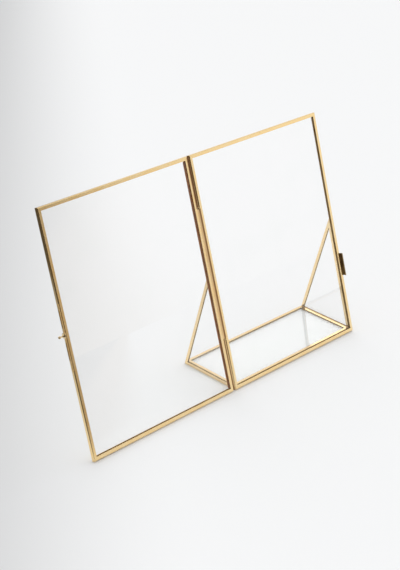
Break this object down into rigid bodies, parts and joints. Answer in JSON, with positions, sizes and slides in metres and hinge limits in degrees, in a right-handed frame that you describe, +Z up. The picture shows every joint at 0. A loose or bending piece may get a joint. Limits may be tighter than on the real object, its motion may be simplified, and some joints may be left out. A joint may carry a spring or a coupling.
{
  "type": "desktop photo frame",
  "caption": "Standing glass photo frame: two glazed brass leaves on a long hinge, a sliding side latch and a glazed triangular stand.",
  "frame": {"origin": "on the table, under the middle of the box round the open frame", "axes": "+X to the right along the two open leaves as seen from the front, +Y to the back, +Z up"},
  "size_m": [0.3286, 0.0686, 0.1965],
  "materials": {
    "polished_brass": "polished",
    "turned_brass": "polished",
    "clear_glass": "clear"
  },
  "bodies": {
    "frame": {"back_glass": "clear_glass", "back_top_channel": "polished_brass", "back_bottom_channel": "polished_brass", "back_hinge_channel": "polished_brass", "back_latch_channel": "polished_brass", "upper_hinge_ear": "polished_brass", "lower_hinge_ear": "polished_brass", "hinge_pin": "polished_brass", "latch_keeper": "polished_brass", "left_side_glass": "clear_glass", "left_side_rail": "polished_brass", "left_strut": "polished_brass", "left_upright": "polished_brass", "right_side_glass": "clear_glass", "right_side_rail": "polished_brass", "right_strut": "polished_brass", "right_upright": "polished_brass", "base_glass": "clear_glass", "base_front_rail": "polished_brass", "base_right_rail": "polished_brass", "base_back_rail": "polished_brass", "base_left_rail": "polished_brass"},
    "door": {"door_glass": "clear_glass", "door_top_channel": "polished_brass", "door_bottom_channel": "polished_brass", "door_hinge_channel": "polished_brass", "door_latch_channel": "polished_brass", "hinge_barrel": "polished_brass", "latch_guide_pins": "turned_brass"},
    "latch": {"latch_bar": "polished_brass", "latch_knob": "turned_brass"}
  },
  "joints": [
    {"name": "door_hinge", "type": "hinge", "parent": "frame", "child": "door", "pos_m": [0.00263, -0.03453, 0.00117], "axis": [0, 0.3173, 0.9483], "range_deg": [0, 180]},
    {"name": "latch_slide", "type": "slide", "parent": "door", "child": "latch", "axis": [0, -0.3173, -0.9483], "range_m": [0, 0.014]}
  ]
}
